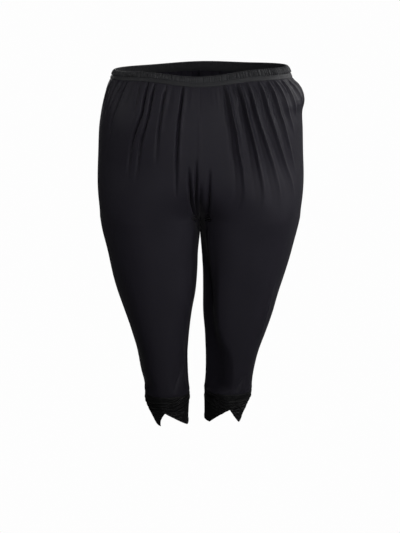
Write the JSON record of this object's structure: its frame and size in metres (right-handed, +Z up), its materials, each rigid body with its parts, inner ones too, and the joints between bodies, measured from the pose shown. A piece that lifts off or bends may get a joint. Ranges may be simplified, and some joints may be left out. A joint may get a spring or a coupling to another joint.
{
  "type": "capri pants",
  "caption": "Pull-on capri pants in soft knit with an elastic waistband and ruched, notched cuffs, standing open and hollow as when worn.",
  "frame": {"origin": "centre of the waistband's ring, where the wearer's waist holds the garment", "axes": "+Z up out of the waist, -Y to the front, +X to the wearer's left"},
  "size_m": [0.4599, 0.3516, 0.8277],
  "materials": {
    "knit": "black stretch jersey with a soft sheen",
    "band": "black jersey shirred over elastic"
  },
  "bodies": {
    "root": {"waistband": "band", "front_left": "knit", "front_right": "knit", "back_left": "knit", "back_right": "knit", "cuff_left": "knit", "cuff_right": "knit"}
  },
  "joints": []
}
